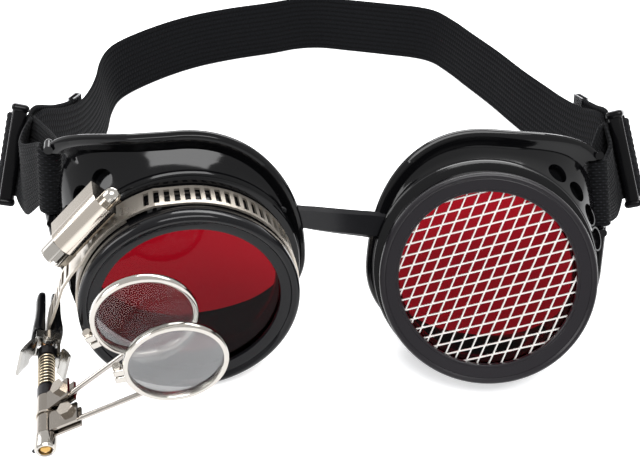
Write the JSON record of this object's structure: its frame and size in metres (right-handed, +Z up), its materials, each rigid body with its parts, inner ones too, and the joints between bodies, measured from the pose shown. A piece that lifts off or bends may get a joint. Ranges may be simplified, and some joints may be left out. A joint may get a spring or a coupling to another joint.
{
  "type": "steampunk goggles",
  "caption": "Steampunk goggles: black screw-ring eye cups with red lenses, wire mesh, a clamp band, an elastic head strap and two clear loupes that swing on a spring-loaded rod",
  "frame": {"origin": "middle of the whole object's box, on the table it lies on", "axes": "+X towards the wearer's left-hand side seen from the front (viewer's right), +Y from the lenses back to the head strap, +Z up from the table"},
  "size_m": [0.2066, 0.2434, 0.0681],
  "materials": {
    "cup_black": "moulded, high gloss with soft scuffs",
    "ring_black": "moulded, semi-gloss",
    "red_lens": "dark red, polished",
    "gasket_rubber": "matte",
    "mesh_wire": "bright wire",
    "bridge_rubber": "smooth",
    "webbing": "ribbed elastic webbing",
    "slider_black": "moulded",
    "tip_metal": "folded sheet",
    "nickel": "nickel plated, lightly worn",
    "clip_metal": "bright plated",
    "boot_rubber": "glossy dipped rubber",
    "spring_wire": "plain wire",
    "dark_metal": "dark plated",
    "rod_brass": "worn",
    "loupe_metal": "nickel plated, polished",
    "clear_glass": "clear, polished"
  },
  "bodies": {
    "frame": {"eye_cup_left": "cup_black", "eye_cup_right": "cup_black", "nose_bridge": "bridge_rubber", "elastic_strap": "webbing", "strap_slider_left": "slider_black", "strap_slider_right": "slider_black", "strap_tip_left": "tip_metal", "strap_tip_right": "tip_metal", "clamp_band": "nickel", "clamp_housing": "nickel", "clip_jaw_fixed": "clip_metal", "jaw_boot_fixed": "boot_rubber", "clip_pin": "clip_metal", "clip_spring": "spring_wire", "rod_ferrule": "dark_metal", "loupe_rod": "rod_brass", "friction_spring": "spring_wire", "spring_collar": "dark_metal", "stem_washer": "loupe_metal", "end_nut": "loupe_metal", "nut_pin": "loupe_metal"},
    "lens_stack_left": {"eye_lens_left": "red_lens", "lens_gasket_left": "gasket_rubber"},
    "ring_left": {"lens_ring_left": "ring_black"},
    "lens_stack_right": {"eye_lens_right": "red_lens", "lens_gasket_right": "gasket_rubber", "mesh_screen": "mesh_wire"},
    "ring_right": {"lens_ring_right": "ring_black"},
    "worm": {"clamp_screw": "nickel"},
    "moving_jaw": {"clip_jaw_moving": "clip_metal", "jaw_boot_moving": "boot_rubber"},
    "loupe_rear": {"bracket_rear": "loupe_metal", "bracket_screw_rear": "loupe_metal", "loupe_arm_rear": "loupe_metal", "loupe_rim_rear": "loupe_metal", "rim_screw_rear": "loupe_metal", "loupe_lens_rear": "clear_glass"},
    "loupe_front": {"bracket_front": "loupe_metal", "bracket_screw_front": "loupe_metal", "loupe_arm_front": "loupe_metal", "loupe_rim_front": "loupe_metal", "rim_screw_front": "loupe_metal", "loupe_lens_front": "clear_glass"}
  },
  "joints": [
    {"name": "unscrew_travel_left", "type": "slide", "parent": "frame", "child": "lens_stack_left", "axis": [0.2074, -0.9758, 0.0698], "range_m": [0, 0.00562]},
    {"name": "ring_turn_left", "type": "hinge", "parent": "lens_stack_left", "child": "ring_left", "pos_m": [-0.03515, -0.08323, 0.03028], "axis": [0.2074, -0.9758, 0.0698], "range_deg": [0, 1350]},
    {"name": "unscrew_travel_right", "type": "slide", "parent": "frame", "child": "lens_stack_right", "axis": [-0.1193, -0.8488, 0.515], "range_m": [0, 0.00562]},
    {"name": "ring_turn_right", "type": "hinge", "parent": "lens_stack_right", "child": "ring_right", "pos_m": [0.04245, -0.07493, 0.03243], "axis": [-0.1193, -0.8488, 0.515], "range_deg": [0, 1350]},
    {"name": "worm_turn", "type": "hinge", "parent": "frame", "child": "worm", "pos_m": [-0.05985, -0.07724, 0.05414], "axis": [0.7055, 0.1986, 0.6803], "continuous": true},
    {"name": "clip_open", "type": "hinge", "parent": "frame", "child": "moving_jaw", "pos_m": [-0.07325, -0.08862, 0.022], "axis": [0.3326, 0.0798, 0.9397], "range_deg": [0, 18], "stiffness_Nm_per_rad": 0.05, "springref_deg": -17.19},
    {"name": "loupe_rear_swing", "type": "hinge", "parent": "frame", "child": "loupe_rear", "pos_m": [-0.0684, -0.10885, 0.022], "axis": [0.2334, -0.9724, 0], "range_deg": [-50, 110]},
    {"name": "loupe_front_swing", "type": "hinge", "parent": "frame", "child": "loupe_front", "pos_m": [-0.06699, -0.11468, 0.022], "axis": [0.2334, -0.9724, 0], "range_deg": [-30, 120]}
  ],
  "couplings": [
    {"joint": "unscrew_travel_left", "follows": "ring_turn_left", "m_per_rad": 0.00023873},
    {"joint": "unscrew_travel_right", "follows": "ring_turn_right", "m_per_rad": 0.00023873}
  ]
}
